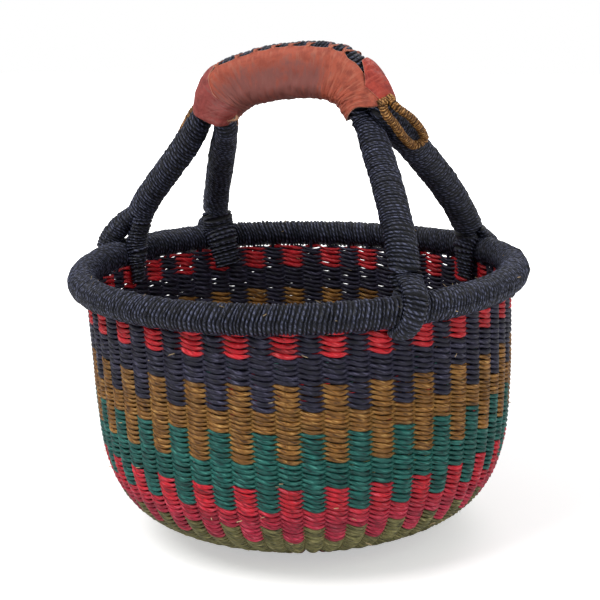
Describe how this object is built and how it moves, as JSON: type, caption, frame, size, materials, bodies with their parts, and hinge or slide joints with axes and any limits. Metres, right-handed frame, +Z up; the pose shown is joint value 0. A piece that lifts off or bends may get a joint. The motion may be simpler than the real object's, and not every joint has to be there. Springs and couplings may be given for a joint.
{
  "type": "round market basket",
  "caption": "Round twined straw basket with a bound rim, an arched handle of bound ropes that fork over the rim, and a leather grip with hanging loops.",
  "frame": {"origin": "middle of the flat underside of the base", "axes": "+Z up through the bowl's middle, +X along the grip, from the left legs to the right legs"},
  "size_m": [0.346, 0.336, 0.3608],
  "materials": {
    "navy_straw": "dyed dry straw, matt with a slight sheen",
    "olive_straw": "dyed dry straw, matt with a slight sheen",
    "rose_straw": "dyed dry straw, matt with a slight sheen",
    "green_straw": "dyed dry straw, matt with a slight sheen",
    "gold_straw": "dyed dry straw, matt with a slight sheen",
    "red_straw": "dyed dry straw, matt with a slight sheen",
    "dark_bound_straw": "tightly bound dyed straw, matt",
    "tan_straw": "bound natural straw, satin",
    "terracotta_leather": "soft goat leather, matt with worn edges",
    "maroon_leather": "soft goat leather, matt with worn edges",
    "reddish_leather": "soft goat leather, matt with worn edges",
    "leather_thong": "narrow cut thong, matt",
    "pale_thong": "raw cut thong, matt"
  },
  "bodies": {
    "basket": {"base_weft": "navy_straw", "olive_weft": "olive_straw", "red_weft": "rose_straw", "green_weft": "green_straw", "gold_weft": "gold_straw", "navy_weft": "navy_straw", "red_check_weft": "red_straw", "rim_roll": "dark_bound_straw", "upper_rope": "dark_bound_straw", "lower_rope": "dark_bound_straw", "left_front_outer_prong": "dark_bound_straw", "left_front_inner_prong": "dark_bound_straw", "left_back_outer_prong": "dark_bound_straw", "left_back_inner_prong": "dark_bound_straw", "right_front_outer_prong": "dark_bound_straw", "right_front_inner_prong": "dark_bound_straw", "right_back_outer_prong": "dark_bound_straw", "right_back_inner_prong": "dark_bound_straw", "leather_sleeve": "terracotta_leather", "left_leather_cap": "maroon_leather", "right_leather_flap": "reddish_leather", "seam_lacing": "leather_thong", "left_cap_tie": "pale_thong"},
    "left_loop": {"left_hanging_loop": "tan_straw"},
    "right_loop": {"right_hanging_loop": "tan_straw"}
  },
  "joints": [
    {"name": "left_loop_hinge", "type": "hinge", "parent": "basket", "child": "left_loop", "pos_m": [-0.07708, 0.01119, 0.3114], "axis": [0.6948, 0.6146, -0.3736], "range_deg": [0, 90]},
    {"name": "right_loop_hinge", "type": "hinge", "parent": "basket", "child": "right_loop", "pos_m": [0.07393, -0.01091, 0.31798], "axis": [-0.7112, -0.6155, -0.3395], "range_deg": [0, 90]}
  ]
}
